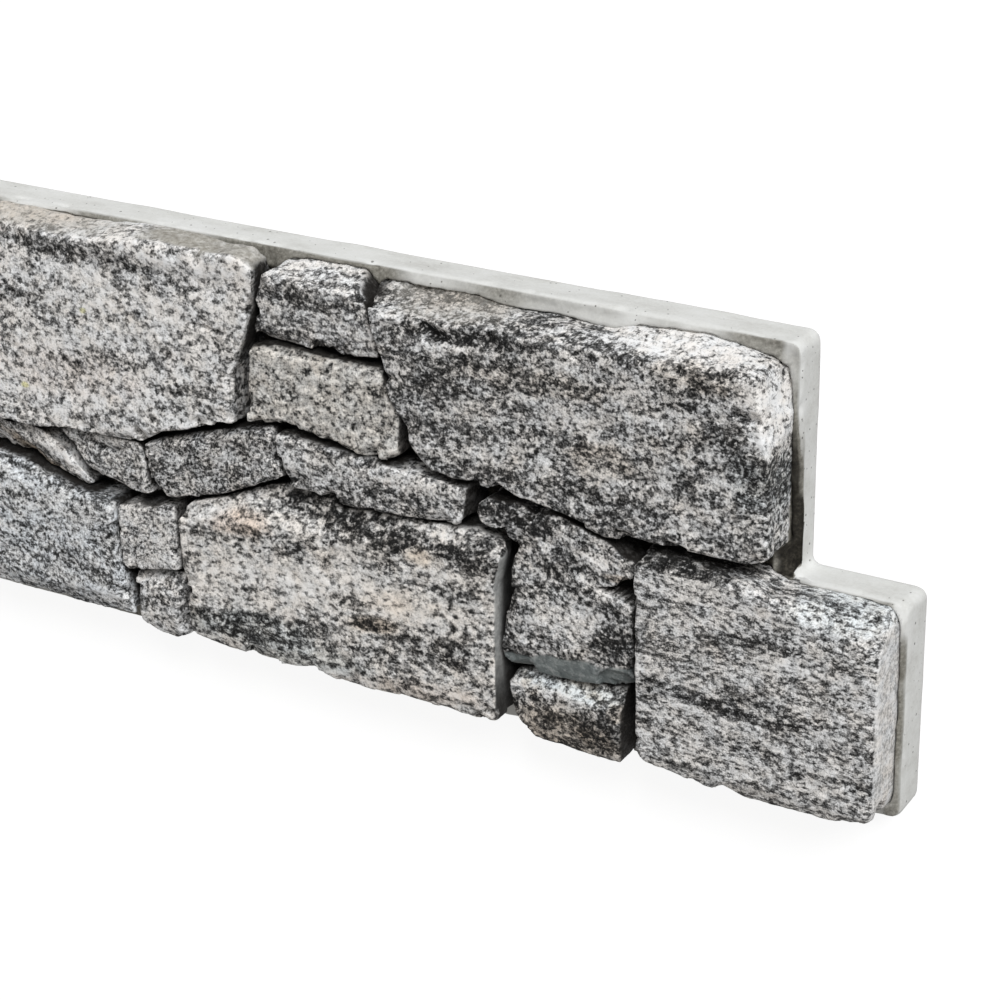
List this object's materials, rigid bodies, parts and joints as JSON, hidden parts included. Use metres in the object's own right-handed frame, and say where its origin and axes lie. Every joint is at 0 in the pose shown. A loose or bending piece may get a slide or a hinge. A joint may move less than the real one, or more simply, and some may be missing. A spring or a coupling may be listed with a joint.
{
  "type": "granite cladding panel",
  "caption": "Concrete-backed wall cladding panel of rough split granite stones with deep dark joints and stepped, Z-shaped ends that interlock with its neighbours.",
  "frame": {"origin": "middle of the panel's length on the back face of the plate, on the line between the two courses", "axes": "+X along the panel's length towards the end where the lower course runs on, +Y up the wall when fixed, +Z out of the back face through the stones; the panel lies on its back on the floor"},
  "size_m": [0.6, 0.198, 0.0412],
  "materials": {
    "concrete": "smooth cast grey concrete with fine pores",
    "grey_granite": "rough split face, grey with black bands of mica",
    "pale_granite": "rough split face, pale beige with sparse dark flecks",
    "dark_granite": "rough split face, dark grey with fine white grains"
  },
  "bodies": {
    "root": {"backing_plate": "concrete", "upper_right_stone": "grey_granite", "small_top_stone": "dark_granite", "pale_stone": "pale_granite", "upper_left_stone": "grey_granite", "upper_end_stone": "grey_granite", "wedge_stone": "pale_granite", "left_levelling_stone": "grey_granite", "middle_levelling_stone": "dark_granite", "right_levelling_stone": "grey_granite", "lower_left_stone": "grey_granite", "square_stone": "grey_granite", "left_foot_stone": "grey_granite", "lower_middle_stone": "pale_granite", "nosed_stone": "dark_granite", "right_foot_stone": "dark_granite", "lower_right_stone": "grey_granite"}
  },
  "joints": []
}
